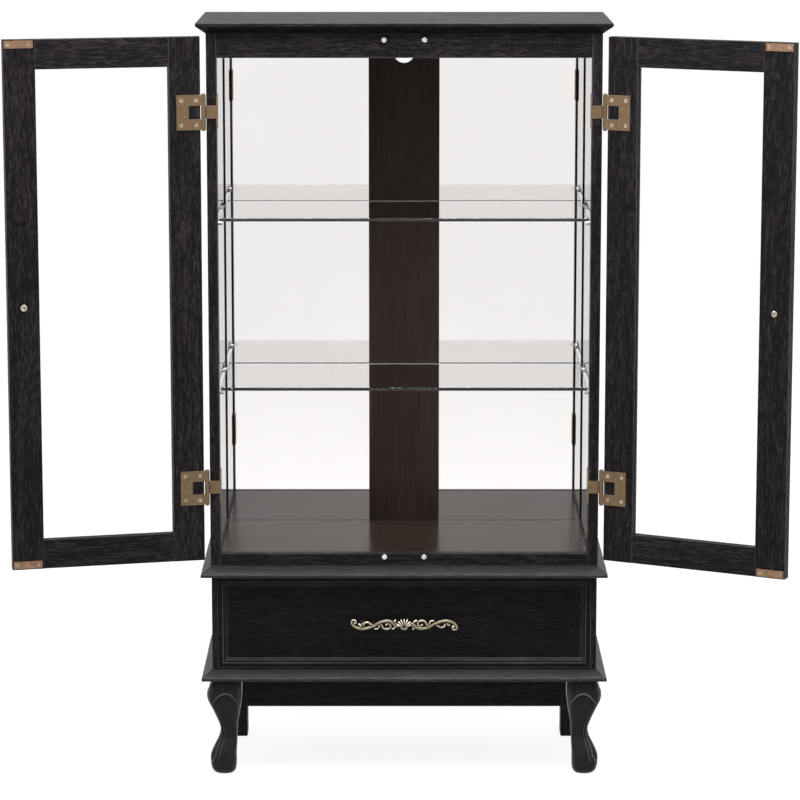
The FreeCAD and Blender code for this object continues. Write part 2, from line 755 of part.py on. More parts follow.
def door(word, side):
    """A frame of two stiles and two rails round a pane of glass, with its fittings."""
    thick = (DOOR_OUTER, DOOR_INNER)
    middle = f"(({DOOR_OUTER} + {DOOR_INNER}) / 2)"
    groove_y = (f"{middle} - door_glass_thick / 2", f"{middle} + door_glass_thick / 2")
    free_in = f"({DOOR_FREE_EDGE} + door_stile)"
    hinge_in = f"({DOOR_HINGE_EDGE} - door_stile)"
    open_low = "(door_bottom + door_rail)"
    open_high = f"({DOOR_TOP} - door_rail)"
    groove_x = (f"{free_in} - glass_groove", f"{hinge_in} + glass_groove")
    groove_z = (f"{open_low} - glass_groove", f"{open_high} + glass_groove")
    full_z = ("door_bottom", DOOR_TOP)

    leaf_spots = [spot for _, height in hinge_heights() for spot in leaf_screw_spots(height)]
    leaf_pilots = inner_face_pilots(f"{word}_leaf_pilot", side, leaf_spots, "screw_depth", "screw_shank")
    corner_spots = strike_spots()
    strike_pilots = inner_face_pilots(
        f"{word}_strike_pilot", side, corner_spots, "screw_depth", "screw_shank - 0.5"
    )
    knob_spot = (f"{DOOR_FREE_EDGE} + door_stile / 2", "door_bottom + door_height / 2")
    knob_pilot = knob(word, side, knob_spot)

    pieces = (
        ("hinge_stile", (hinge_in, DOOR_HINGE_EDGE), full_z, leaf_pilots),
        ("free_stile", (DOOR_FREE_EDGE, free_in), full_z, strike_pilots + [knob_pilot]),
        ("top_rail", (free_in, hinge_in), (open_high, DOOR_TOP), []),
        ("bottom_rail", (free_in, hinge_in), ("door_bottom", open_low), []),
    )
    for tag, x_pair, z_pair, pilots in pieces:
        name = f"{word}_door_{tag}"
        bar = block(name + "_bar", sided(side, *x_pair), thick, z_pair)
        groove = block(name + "_groove", sided(side, *groove_x), groove_y, groove_z)
        hang(name, cut(name + "_cut", bar, [groove] + pilots), side)

    play = 0.5
    pane_x = sided(side, f"{groove_x[0]} + {play}", f"{groove_x[1]} - {play}")
    pane_z = (f"{groove_z[0]} + {play}", f"{groove_z[1]} - {play}")
    name = f"{word}_door_glass"
    pane = block(name, pane_x, groove_y, pane_z)
    doc.recompute()
    for axis in "xyz":
        pane.setExpression(f"Placement.Base.{axis}", None)
    hang(name, pane, side)

    leaves = [door_leaf(word, side, tag, height) for tag, height in hinge_heights()]
    hang(f"{word}_door_leaves", group(f"{word}_door_leaves", leaves), side)
    strike_plates(word, side, corner_spots)
    kinds = (
        (leaf_pilots, size("screw_head"), size("leaf_thick")),
        (strike_pilots, size("screw_head") - 1, size("strike_thick")),
        ([knob_pilot], 8, 2),
    )
    hang(f"{word}_door_screws", screws(f"{word}_door_screws", kinds), side)


def hinge_frame_halves():
    leaves = [
        frame_leaf(word, side, tag, height) for word, side in SIDES for tag, height in hinge_heights()
    ]
    group("hinge_frame_leaves", leaves)
    screws("hinge_frame_screws", [(FRAME_PILOTS, size("screw_head"), size("leaf_thick"))])


# ---- Drawer case --------------------------------------------------------------------------

DRAWER_FRONT_IN = f"({FRONT} + drawer_front_thick)"
DRAWER_SIDE_OUT = f"({STAND_IN} - runner_space)"
DRAWER_SIDE_IN = f"({DRAWER_SIDE_OUT} - drawer_side_thick)"
DRAWER_SIDE_FLOOR = f"({STAND_FLOOR} + 16)"
DRAWER_SIDE_TOP = f"({DRAWER_SIDE_FLOOR} + drawer_side_height)"
DRAWER_REAR = f"({DRAWER_FRONT_IN} + drawer_length)"
DRAWER_BOTTOM_FLOOR = f"({DRAWER_SIDE_FLOOR} + 8)"
DRAWER_BOTTOM_TOP = f"({DRAWER_BOTTOM_FLOOR} + drawer_bottom_thick)"
RUNNER_MIDDLE = f"(({DRAWER_SIDE_FLOOR} + {DRAWER_SIDE_TOP}) / 2)"


def stand_case():
    for word, side in SIDES:
        name = f"{word}_stand_side"
        panel = block(name + "_panel", sided(side, STAND_IN, STAND_OUT), (FRONT, BACK), (STAND_FLOOR, STAND_TOP))
        lap_x = sided(side, f"{STAND_IN} - 1", f"{STAND_IN} + front_rebate")
        lap_y = (f"{FRONT} - 1", f"{DRAWER_FRONT_IN} + 1")
        lap = block(name + "_lap", lap_x, lap_y, (f"{STAND_FLOOR} - 1", f"{STAND_TOP} + 1"))
        keep(name, cut(name + "_cut", panel, [lap]))
    panel_y = (f"{MIRROR_FACE} + mirror_thick", f"{MIRROR_FACE} + mirror_thick + back_thick")
    keep(
        "stand_back_panel",
        block("stand_back_panel", (f"-{STAND_IN}", STAND_IN), panel_y, (STAND_FLOOR, STAND_TOP)),
    )


def drawer_front(pull_pilots):
    """The front board: a flat border, a step, a bevelled moulding and a sunk field."""
    body = doc.addObject("PartDesign::Body", "drawer_front_body")
    half_width = f"({STAND_IN} + front_rebate - drawer_gap)"
    width = f"(2 * {half_width})"
    height = "(stand_height - 2 * drawer_gap - 2)"
    outline = sketch_on(body, "drawer_front_outline", "XZ_Plane")
    draw_rectangle(outline, "front", "0", "0", width, height)
    pad(body, outline, "drawer_front_thick")
    doc.recompute()
    toward_front = body.Shape.BoundBox.YMin < -1
    steps = (("border", 8, 1.5), ("field", 14.5, 5))
    for tag, inset, depth in steps:
        level = sketch_on(body, f"drawer_front_{tag}", "XZ_Plane")
        draw_rectangle(level, tag, inset, inset, f"{width} - 2 * {inset}", f"{height} - 2 * {inset}")
        if toward_front:
            bind(level, "AttachmentOffset.Base.z", "drawer_front_thick")
        pocket(body, level, f"drawer_front_{tag}_cut", depth, False)
    lip_y = body.Shape.BoundBox.YMin + steps[0][2]
    inset = steps[1][1]
    edges = []
    for number, edge in enumerate(body.Shape.Edges, start=1):
        box = edge.BoundBox
        if abs(box.YMin - lip_y) < 0.01 and abs(box.YMax - lip_y) < 0.01:
            if box.XMin > inset - 0.01 and box.ZMin > inset - 0.01:
                edges.append(f"Edge{number}")
    sunk = body.Tip
    bevel = body.newObject("PartDesign::Chamfer", "drawer_front_bevel")
    bevel.Base = (sunk, edges)
    bevel.Size = 3
    body.Tip = bevel
    shift = "drawer_front_thick" if toward_front else "0"
    place(body, f"-{half_width}", f"{FRONT} + {shift}", f"{STAND_FLOOR} + drawer_gap + 1")
    keep("drawer_front", cut("drawer_front_bored", body, pull_pilots))


def drawer_box():
    """Sides with grooves, a back that stands on the bottom, and the thin bottom itself."""
    groove = 5
    y_span = (DRAWER_FRONT_IN, DRAWER_REAR)
    boards = []
    for word, side in SIDES:
        name = f"drawer_{word}_side"
        board = block(
            name + "_board", sided(side, DRAWER_SIDE_IN, DRAWER_SIDE_OUT), y_span,
            (DRAWER_SIDE_FLOOR, DRAWER_SIDE_TOP),
        )
        slot_x = sided(side, f"{DRAWER_SIDE_IN} - 1", f"{DRAWER_SIDE_IN} + {groove}")
        slot = block(
            name + "_slot", slot_x, (f"{y_span[0]} - 1", f"{y_span[1]} + 1"),
            (DRAWER_BOTTOM_FLOOR, DRAWER_BOTTOM_TOP),
        )
        boards.append(cut(name, board, [slot]))
    group("drawer_sides", boards)
    inner_x = (f"-{DRAWER_SIDE_IN}", DRAWER_SIDE_IN)
    keep(
        "drawer_back",
        block(
            "drawer_back", inner_x, (f"{DRAWER_REAR} - drawer_side_thick", DRAWER_REAR),
            (DRAWER_BOTTOM_TOP, DRAWER_SIDE_TOP),
        ),
    )
    wide_x = (f"-({DRAWER_SIDE_IN} + {groove})", f"{DRAWER_SIDE_IN} + {groove}")
    keep(
        "drawer_bottom",
        block("drawer_bottom", wide_x, y_span, (DRAWER_BOTTOM_FLOOR, DRAWER_BOTTOM_TOP)),
    )


def channel(name, side, open_inward, x_pair, y_span, height, wall):
    """A steel channel section that lies on its side, open towards or away from the drawer."""
    low = f"{RUNNER_MIDDLE} - ({height}) / 2"
    high = f"{RUNNER_MIDDLE} + ({height}) / 2"
    bar = block(name + "_bar", sided(side, *x_pair), y_span, (low, high))
    if open_inward:
        hollow_x = sided(side, f"{x_pair[0]} - 1", f"{x_pair[1]} - {wall}")
    else:
        hollow_x = sided(side, f"{x_pair[0]} + {wall}", f"{x_pair[1]} + 1")
    hollow = block(
        name + "_hollow", hollow_x, (f"{y_span[0]} - 1", f"{y_span[1]} + 1"),
        (f"{low} + {wall}", f"{high} - {wall}"),
    )
    return cut(name, bar, [hollow])


def runners():
    """A channel on each side of the case, with a smaller one on the drawer inside it."""
    wall = 1.5
    play = 0.9
    case_members = []
    drawer_members = []
    for word, side in SIDES:
        case_x = (f"{DRAWER_SIDE_OUT} + 1.5", STAND_IN)
        case_y = (f"{DRAWER_FRONT_IN} + 3", f"{DRAWER_REAR} + 2")
        name = f"{word}_case_runner"
        case_members.append(channel(name, side, True, case_x, case_y, "runner_height", wall))
        drawer_x = (DRAWER_SIDE_OUT, f"{STAND_IN} - {wall} - {play}")
        drawer_y = (f"{DRAWER_FRONT_IN} + 2", DRAWER_REAR)
        drawer_height = f"runner_height - 2 * {wall} - 2 * {play}"
        name = f"{word}_drawer_runner"
        drawer_members.append(channel(name, side, False, drawer_x, drawer_y, drawer_height, wall))
    group("case_runners", case_members)
    group("drawer_runners", drawer_members)


FIELD_FACE = f"({FRONT} + 5)"
PULL_FACE = f"({FIELD_FACE} - 18)"
PULL_HEIGHT = "(leg_height + moulding + stand_height / 2)"


def drawer_pull():
    """A cast pull: a round middle boss, two tapering arms with a round scroll each, and two posts."""
    boss_start = ("0", f"{PULL_FACE} - 3.5", PULL_HEIGHT)
    pieces = [rod("pull_boss", "y", boss_start, "17", "8")]
    pilots = []
    for word, side in SIDES:
        arm = doc.addObject("Part::Cone", f"pull_{word}_arm")
        arm.Radius1 = 4.5
        arm.Radius2 = 2.6
        arm.Height = 74
        arm.Placement.Rotation = TURNS["x" if side > 0 else "-x"]
        place(arm, "0", PULL_FACE, PULL_HEIGHT)
        scroll_start = (f"{side} * 75.5", f"{PULL_FACE} - 2.5", f"{PULL_HEIGHT} - {side} * 2.5")
        scroll = rod(f"pull_{word}_scroll", "y", scroll_start, "13", "5")
        post_start = (f"{side} * pull_holes / 2", PULL_FACE, PULL_HEIGHT)
        post = rod(f"pull_{word}_post", "y", post_start, "8", f"{FIELD_FACE} - {PULL_FACE}")
        pieces += [arm, scroll, post]
        pilot_start = (post_start[0], f"{FIELD_FACE} - 10", PULL_HEIGHT)
        pilot_length = f"{DRAWER_FRONT_IN} - {FIELD_FACE} + 10"
        pilots.append(rod(f"pull_{word}_pilot", "y", pilot_start, "bolt_shank", pilot_length))
    keep("drawer_pull", cut("drawer_pull_bored", joined("drawer_pull_solid", pieces), pilots))
    screws("pull_screws", [(pilots, 8, 2)])
    return pilots


# ---- Base ---------------------------------------------------------------------------------

def aprons():
    """Boards under the base board, between the legs."""
    z_span = ("leg_height - apron_height", "leg_height")
    block_in = "(stand_width / 2 - leg_block)"
    front_y = f"({FRONT} + 9)"
    keep("front_apron", block("front_apron", (f"-{block_in}", block_in), (front_y, f"{front_y} + board"), z_span))
    rear_in = f"({STAND_OUT} - 3 - rear_leg)"
    rear_y = f"({BACK} - 9)"
    keep("rear_apron", block("rear_apron", (f"-{rear_in}", rear_in), (f"{rear_y} - board", rear_y), z_span))
    side_y = (f"{FRONT} + leg_block", f"{BACK} - 3 - rear_leg")
    boards = []
    for word, side in SIDES:
        side_x = sided(side, f"{STAND_OUT} - 9 - board", f"{STAND_OUT} - 9")
        boards.append(block(f"{word}_apron", side_x, side_y, z_span))
    group("side_aprons", boards)


def rear_legs():
    posts = []
    for word, side in SIDES:
        x_span = sided(side, f"{STAND_OUT} - 3 - rear_leg", f"{STAND_OUT} - 3")
        y_span = (f"{BACK} - 3 - rear_leg", f"{BACK} - 3")
        posts.append(block(f"{word}_rear_leg", x_span, y_span, ("0", "leg_height")))
    group("rear_legs", posts)


def rounded_square(sketch, center, half, corner):
    """Four sides and four round corners about a centre."""
    inner = half - corner
    diagonal = corner * math.sqrt(0.5)
    for quarter in range(4):
        turn = FreeCAD.Rotation(FreeCAD.Vector(0, 0, 1), 90 * quarter)
        move = FreeCAD.Placement(FreeCAD.Vector(center[0], center[1], 0), turn)
        side_start = move.multVec(FreeCAD.Vector(half, -inner, 0))
        side_end = move.multVec(FreeCAD.Vector(half, inner, 0))
        arc_middle = move.multVec(FreeCAD.Vector(inner + diagonal, inner + diagonal, 0))
        arc_end = move.multVec(FreeCAD.Vector(inner, half, 0))
        sketch.addGeometry(Part.LineSegment(side_start, side_end), False)
        sketch.addGeometry(Part.Arc(side_end, arc_middle, arc_end), False)


def front_leg(word, side):
    """A cabriole leg: a square top block, a knee that swells to the corner, an ankle and a foot."""
    half_stand = size("stand_width") / 2
    # Height, then how far the outer and the inner outline lie from the stand's side.
    outline = (
        (150, 2.5, -46),
        (124, 7.2, -44),
        (98, -0.6, -41),
        (68, -10.2, -37.5),
        (44, -2.3, -36.5),
        (27, 3.5, -35.5),
        (12, 0, -32.7),
        (0, -5.5, -27),
    )
    body = doc.addObject("PartDesign::Body", f"{word}_front_leg_body")
    sections = []
    for height, outer, inner in outline:
        reach = (outer + inner) / 2
        center = (side * (half_stand + reach), -size("body_depth") / 2 - reach)
        half = (outer - inner) / 2
        sketch = sketch_on(body, f"{word}_leg_at_{height}", "XY_Plane")
        sketch.AttachmentOffset = FreeCAD.Placement(FreeCAD.Vector(0, 0, height), FreeCAD.Rotation())
        rounded_square(sketch, center, half, half * 0.55)
        sections.append(sketch)
    loft = body.newObject("PartDesign::AdditiveLoft", f"{word}_leg_loft")
    loft.Profile = sections[0]
    loft.Sections = sections[1:]
    body.Tip = loft
    top = block(
        f"{word}_leg_top",
        sided(side, f"{STAND_OUT} - leg_block", STAND_OUT),
        (FRONT, f"{FRONT} + leg_block"),
        ("leg_height - leg_block_height", "leg_height"),
    )
    keep(f"{word}_front_leg", joined(f"{word}_front_leg_solid", [body, top]))


def build():
    moulded_boards()
    for word, side in SIDES:
        side_frame(word, side)
    front_rails()
    catch_magnets()
    deck()
    back()
    shelves()
    shelf_pins()
    for word, side in SIDES:
        door(word, side)
    hinge_frame_halves()
    hinge_pins()
    stand_case()
    drawer_front(drawer_pull())
    drawer_box()
    runners()
    aprons()
    rear_legs()
    for word, side in SIDES:
        front_leg(word, side)
    doc.recompute()


def write():
    """Check every object and every sub-part, then write one file for each."""
    for piece in doc.Objects:
        if "Invalid" in piece.State or "Error" in piece.State:
            raise RuntimeError(f"{piece.Name} failed: {piece.State}")
    os.makedirs("parts", exist_ok=True)
    for label, piece in PARTS.items():
        shape = piece.Shape
        if shape.isNull() or not shape.isValid():
            raise RuntimeError(f"{label} has no valid shape")
        shape.exportStep(f"parts/{label}.step")
        print(label, len(shape.Solids), round(shape.Volume), flush=True)


build()
write()
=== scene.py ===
import json
import math

import bmesh
import bpy
import numpy as np
from mathutils import Matrix, Vector


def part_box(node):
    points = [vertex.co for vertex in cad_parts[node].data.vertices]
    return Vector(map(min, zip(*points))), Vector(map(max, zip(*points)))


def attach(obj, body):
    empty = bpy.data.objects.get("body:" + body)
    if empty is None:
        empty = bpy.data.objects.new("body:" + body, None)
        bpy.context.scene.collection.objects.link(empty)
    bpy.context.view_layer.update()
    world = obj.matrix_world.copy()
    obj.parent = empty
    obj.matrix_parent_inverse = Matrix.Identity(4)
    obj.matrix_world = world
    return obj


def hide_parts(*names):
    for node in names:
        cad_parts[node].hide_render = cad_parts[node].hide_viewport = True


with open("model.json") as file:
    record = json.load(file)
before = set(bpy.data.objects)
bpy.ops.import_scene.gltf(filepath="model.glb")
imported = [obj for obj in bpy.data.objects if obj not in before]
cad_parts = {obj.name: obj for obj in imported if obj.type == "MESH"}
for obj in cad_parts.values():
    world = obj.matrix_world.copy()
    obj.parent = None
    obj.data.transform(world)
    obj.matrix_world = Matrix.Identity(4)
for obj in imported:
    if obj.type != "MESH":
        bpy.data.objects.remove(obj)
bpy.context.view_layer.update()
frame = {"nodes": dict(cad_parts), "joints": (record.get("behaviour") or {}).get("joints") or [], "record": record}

BODY_OF = {
    node: body
    for body, members in frame["record"]["behaviour"]["bodies"].items()
    for node in members
}
OPENING = {joint["name"]: -joint["range_deg"][0] for joint in frame["joints"] if "range_deg" in joint}
MM = 0.001
WELD = 0.005 * MM  # points of a CAD mesh nearer to each other than this are one point


# ---- Camera -------------------------------------------------------------------------------

# The lens and the sensor are in millimetres, the camera's place in metres.
LENS = 153.81
SENSOR_WIDTH = 36
CAMERA_PLACE = (-0.0064, -5.2, 1.484)
TILT = math.radians(10.066)


def make_camera():
    """A long lens in front of the cabinet, a little above it and tipped down towards it."""
    data = bpy.data.cameras.new("camera")
    data.sensor_width = SENSOR_WIDTH
    data.lens = LENS
    data.clip_start = 0.1
    data.clip_end = 60
    camera = bpy.data.objects.new("camera", data)
    camera.location = CAMERA_PLACE
    camera.rotation_euler = (math.pi / 2 - TILT, 0, 0)
    bpy.context.scene.collection.objects.link(camera)
    bpy.context.scene.camera = camera


# ---- Shader helpers -----------------------------------------------------------------------


class Shader:
    """A new material and short calls for adding nodes to it."""

    def __init__(self, name):
        self.material = bpy.data.materials.new(name)
        self.material.use_nodes = True
        self.tree = self.material.node_tree
        self.tree.nodes.clear()
        self.output = self.tree.nodes.new("ShaderNodeOutputMaterial")
        self.surface = self.tree.nodes.new("ShaderNodeBsdfPrincipled")
        self.link(self.surface.outputs[0], self.output.inputs[0])

    def link(self, start, end):
        self.tree.links.new(start, end)

    def plain(self, **values):
        """Numbers and colours that are the same all over the surface."""
        for word, value in values.items():
            name = word.replace("_", " ").title().replace("Ior", "IOR")
            self.surface.inputs[name].default_value = value

    def place(self, stretch, turn=0.0):
        """Object coordinates, turned about Z and stretched."""
        source = self.tree.nodes.new("ShaderNodeTexCoord")
        turned = self.tree.nodes.new("ShaderNodeMapping")
        turned.inputs["Rotation"].default_value = (0, 0, -turn)
        stretched = self.tree.nodes.new("ShaderNodeMapping")
        stretched.inputs["Scale"].default_value = stretch
        self.link(source.outputs["Object"], turned.inputs["Vector"])
        self.link(turned.outputs[0], stretched.inputs["Vector"])
        return stretched.outputs[0]

    def noise(self, vector, detail=4.0, rough=0.6, distortion=0.0):
        """Clouds about one unit of the vector across, between 0 and 1 and mostly near 0.5."""
        node = self.tree.nodes.new("ShaderNodeTexNoise")
        node.inputs["Scale"].default_value = 1.0
        node.inputs["Detail"].default_value = detail
        node.inputs["Roughness"].default_value = rough
        node.inputs["Distortion"].default_value = distortion
        self.link(vector, node.inputs["Vector"])
        return node.outputs["Fac"]

    def math(self, operation, first, second=0.0):
        node = self.tree.nodes.new("ShaderNodeMath")
        node.operation = operation
        for socket, value in zip(node.inputs, (first, second)):
            if isinstance(value, (int, float)):
                socket.default_value = value
            else:
                self.link(value, socket)
        return node.outputs[0]

    def spread(self, value, low, high, to_low=0.0, to_high=1.0):
        """The value with low to high stretched over to_low to to_high, and held at both ends."""
        node = self.tree.nodes.new("ShaderNodeMapRange")
        node.inputs["From Min"].default_value = low
        node.inputs["From Max"].default_value = high
        node.inputs["To Min"].default_value = to_low
        node.inputs["To Max"].default_value = to_high
        self.link(value, node.inputs["Value"])
        return node.outputs["Result"]

    def ramp(self, value, *stops):
        """A colour from pairs of position and colour."""
        node = self.tree.nodes.new("ShaderNodeValToRGB")
        while len(node.color_ramp.elements) < len(stops):
            node.color_ramp.elements.new(0.5)
        for element, (position, color) in zip(node.color_ramp.elements, stops):
            element.position = position
            element.color = (*color, 1)
        self.link(value, node.inputs["Fac"])
        return node.outputs["Color"]

    def blend(self, share, first, second):
        """The first colour where share is 0 and the second where it is 1."""
        node = self.tree.nodes.new("ShaderNodeMix")
        node.data_type = "RGBA"
        sockets = (node.inputs[0], node.inputs[6], node.inputs[7])
        for socket, value in zip(sockets, (share, first, second)):
            if isinstance(value, (int, float)):
                socket.default_value = value
            elif isinstance(value, tuple):
                socket.default_value = (*value, 1)
            else:
                self.link(value, socket)
        return node.outputs[2]

    def bump(self, height, distance, strength=1.0):
        node = self.tree.nodes.new("ShaderNodeBump")
        node.inputs["Strength"].default_value = strength
        node.inputs["Distance"].default_value = distance
        self.link(height, node.inputs["Height"])
        self.link(node.outputs[0], self.surface.inputs["Normal"])

    def edges(self, radius):
        """1 on sharp edges and 0 on flats."""
        rounded = self.tree.nodes.new("ShaderNodeBevel")
        rounded.samples = 4
        rounded.inputs["Radius"].default_value = radius
        facing = self.tree.nodes.new("ShaderNodeNewGeometry")
        product = self.tree.nodes.new("ShaderNodeVectorMath")
        product.operation = "DOT_PRODUCT"
        self.link(rounded.outputs[0], product.inputs[0])
        self.link(facing.outputs["Normal"], product.inputs[1])
        return self.spread(product.outputs["Value"], 0.99, 0.86)

    def pointed(self, low, high):
        """0 in hollows and 1 on ridges of a dense mesh."""
        facing = self.tree.nodes.new("ShaderNodeNewGeometry")
        return self.spread(facing.outputs["Pointiness"], low, high)

    def color(self, socket):
        self.link(socket, self.surface.inputs["Base Color"])

    def roughness(self, socket):
        self.link(socket, self.surface.inputs["Roughness"])


# ---- Materials ----------------------------------------------------------------------------


# Changes per metre along the grain and across it, for each layer of the oak's figure.
FIBRES = (80, 560)
STREAKS = (14, 330)
PORES = (60, 1100)
GROWTH_BANDS = (1.4, 15)
BAND_WAVES = 60.0

# The same for the lacquered boards and for the brush lines of metal.
LACQUERED_FIBRES = (7, 300)
LACQUERED_FIGURE = (0.8, 9)
BRUSH_LINES = (60, 1900)


def stretch_along(axis, along, across):
    return tuple(along if word == axis else across for word in "xyz")


def black_wood(name, axis, turn=0.0, depth=1.0, sheen=0.08, lighter_tone=0.066, carved=False):
    """Black-stained oak: fibres, long streaks, open pores and faint growth bands along one axis.

    A depth below 1 darkens every tone as painted shade. The lighter tone is the brightness of the
    lighter marks: scuffed wood with a painted highlight. A carved piece is smoother and has them on
    its ridges; any other has them on its sharp edges.
    """
    # A depth below 1 darkens all three tones, as painted shade.
    dark = (0.0014 * depth, 0.0009 * depth, 0.0013 * depth)
    middle = (0.0046 * depth, 0.0035 * depth, 0.0042 * depth)
    light = (0.0162 * depth, 0.0131 * depth, 0.0152 * depth)
    scuff_and_highlight_tone = (lighter_tone, 0.94 * lighter_tone, 0.97 * lighter_tone)
    shader = Shader(name)

    def layer(changes, **settings):
        return shader.noise(shader.place(stretch_along(axis, *changes), turn), **settings)

    fibres = layer(FIBRES, detail=3, rough=0.6, distortion=0.5)
    streaks = layer(STREAKS, detail=5, rough=0.65)
    open_pores = shader.spread(layer(PORES, detail=2, rough=0.5), 0.36, 0.46)
    bands = layer(GROWTH_BANDS, detail=3, distortion=0.8)
    rings = shader.spread(shader.math("SINE", shader.math("MULTIPLY", bands, BAND_WAVES)), -1, 1)
    patches = shader.noise(shader.place((5, 5, 5)), detail=2)
    streak_share = shader.math("MULTIPLY", streaks, 0.26)
    grain = shader.math("ADD", shader.math("MULTIPLY", fibres, 0.68), streak_share)
    grain = shader.math("ADD", grain, shader.math("MULTIPLY", rings, 0.06))
    tone = shader.ramp(grain, (0.43, dark), (0.5, middle), (0.58, light))
    tone = shader.blend(shader.spread(patches, 0.3, 0.7, 0.75, 1.0), dark, tone)
    tone = shader.blend(open_pores, dark, tone)
    if carved:
        tone = shader.blend(0.55, tone, middle)
        # Ridges of a carving are lighter: scuffed wood with a painted highlight.
        scuff_and_highlight_mask = shader.pointed(0.51, 0.56)
        roughness = shader.spread(grain, 0.4, 0.6, 0.4, 0.32)
        relief = 0.12 * MM
    else:
        # Sharp edges are lighter: scuffed wood with a painted highlight along them.
        scuff_and_highlight_mask = shader.edges(1.5 * MM)
        roughness = shader.spread(grain, 0.4, 0.6, 0.58, 0.4)
        relief = 0.45 * MM
    # How much of the lighter tone shows: scuffing and painted highlight, broken up by patches.
    lighter_share = shader.math("MULTIPLY", scuff_and_highlight_mask, shader.spread(patches, 0.4, 0.65, 0.4, 0.8))
    shader.color(shader.blend(lighter_share, tone, scuff_and_highlight_tone))
    shader.roughness(roughness)
    shader.plain(specular_ior_level=sheen)
    fibre_height = shader.math("MULTIPLY", grain, 0.6)
    pore_height = shader.math("MULTIPLY", open_pores, 0.4)
    shader.bump(shader.math("ADD", fibre_height, pore_height), relief, 0.6)
    return shader.material


def lacquered_wood(name, axis):
    """Brown-black boards under a smooth lacquer, with fine long fibres and a faint figure."""
    dark, light = (0.0088, 0.0058, 0.0045), (0.0185, 0.0130, 0.0105)
    shader = Shader(name)
    fibres = shader.noise(shader.place(stretch_along(axis, *LACQUERED_FIBRES)), detail=6, rough=0.7)
    figure = shader.noise(shader.place(stretch_along(axis, *LACQUERED_FIGURE)), detail=3, distortion=0.4)
    clouds = shader.noise(shader.place((4, 4, 4)), detail=2)
    grain = shader.math("ADD", shader.math("MULTIPLY", fibres, 0.6), shader.math("MULTIPLY", figure, 0.4))
    shader.color(shader.ramp(grain, (0.4, dark), (0.6, light)))
    shader.roughness(shader.spread(clouds, 0.3, 0.7, 0.2, 0.26))
    shader.plain(specular_ior_level=0.05)
    shader.bump(figure, 0.05 * MM, 0.1)
    return shader.material


def plain_board(name):
    """Raw brown fibreboard for the hidden panels."""
    shader = Shader(name)
    flecks = shader.noise(shader.place((420, 420, 420)), detail=4, rough=0.7)
    clouds = shader.noise(shader.place((14, 14, 14)), detail=3)
    tone = shader.ramp(flecks, (0.35, (0.10, 0.062, 0.035)), (0.7, (0.24, 0.16, 0.095)))
    shader.color(shader.blend(shader.spread(clouds, 0.35, 0.65, 0.0, 0.35), tone, (0.08, 0.05, 0.03)))
    shader.roughness(shader.spread(flecks, 0.3, 0.7, 0.9, 0.7))
    shader.plain(specular_ior_level=0.25)
    shader.bump(flecks, 0.3 * MM, 0.5)
    return shader.material


def metal(name, dark, light, lighter_tone, roughness):
    """Cast or pressed metal: patina in patches, fine upright brush lines and brighter scuffed edges."""
    shader = Shader(name)
    lines = shader.noise(shader.place(stretch_along("z", *BRUSH_LINES)), detail=3, rough=0.6)
    patches = shader.noise(shader.place((150, 150, 150)), detail=4, rough=0.65)
    tone = shader.ramp(patches, (0.34, dark), (0.62, light))
    lighter_share = shader.math("MULTIPLY", shader.edges(0.5 * MM), 0.7)
    shader.color(shader.blend(lighter_share, tone, lighter_tone))
    tarnish = shader.spread(patches, 0.3, 0.7, roughness + 0.12, roughness - 0.06)
    shader.roughness(shader.math("ADD", tarnish, shader.spread(lines, 0.3, 0.7, -0.04, 0.06)))
    shader.plain(metallic=1.0)
    shader.bump(lines, 0.05 * MM, 0.4)
    return shader.material


def antique_brass(name):
    """Gilt casting with black left in its hollows and pale ridges: scuffed gilt with a painted highlight."""
    shader = Shader(name)
    patches = shader.noise(shader.place((260, 260, 260)), detail=3)
    ridges = shader.pointed(0.465, 0.565)
    # Pale ridge colours are painted highlight over scuffed gilt; the black in the hollows is the casting's own.
    tone = shader.ramp(
        ridges,
        (0.0, (0.005, 0.004, 0.003)),
        (0.38, (0.03, 0.024, 0.016)),
        (0.52, (0.30, 0.255, 0.18)),
        (0.68, (0.95, 0.90, 0.76)),
    )
    shader.color(shader.blend(shader.spread(patches, 0.35, 0.7, 0.0, 0.35), tone, (0.08, 0.055, 0.03)))
    shader.roughness(shader.spread(patches, 0.3, 0.7, 0.22, 0.42))
    shader.plain(metallic=0.92)
    shader.bump(patches, 0.12 * MM, 0.5)
    return shader.material


def through_for_lamps(shader):
    """Lets lamps and diffuse light through glass, so that it casts no dark shadow."""
    path = shader.tree.nodes.new("ShaderNodeLightPath")
    clear = shader.tree.nodes.new("ShaderNodeBsdfTransparent")
    mixed = shader.tree.nodes.new("ShaderNodeMixShader")
    either = shader.math("MAXIMUM", path.outputs["Is Shadow Ray"], path.outputs["Is Diffuse Ray"])
    shader.link(either, mixed.inputs[0])
    shader.link(shader.surface.outputs[0], mixed.inputs[1])
    shader.link(clear.outputs[0], mixed.inputs[2])
    shader.link(mixed.outputs[0], shader.output.inputs[0])


def sheet_glass(name, tint):
    """Float glass with a faint wave and a few smears in its polish."""
    shader = Shader(name)
    smears = shader.noise(shader.place((7, 7, 7)), detail=5, rough=0.7)
    waves = shader.noise(shader.place((3, 3, 3)), detail=1)
    shader.plain(base_color=(*tint, 1), transmission_weight=1.0, ior=1.5)
    shader.roughness(shader.spread(smears, 0.45, 0.8, 0.0, 0.03))
    shader.bump(waves, 0.2 * MM, 0.1)
    through_for_lamps(shader)
    return shader.material


def mirror_glass(name):
    shader = Shader(name)
    smears = shader.noise(shader.place((6, 6, 6)), detail=5, rough=0.7)
    shader.color(shader.ramp(smears, (0.35, (0.84, 0.82, 0.815)), (0.7, (0.86, 0.84, 0.83))))
    shader.roughness(shader.spread(smears, 0.4, 0.8, 0.005, 0.03))
    shader.plain(metallic=1.0)
    return shader.material


# ---- Mesh helpers -------------------------------------------------------------------------


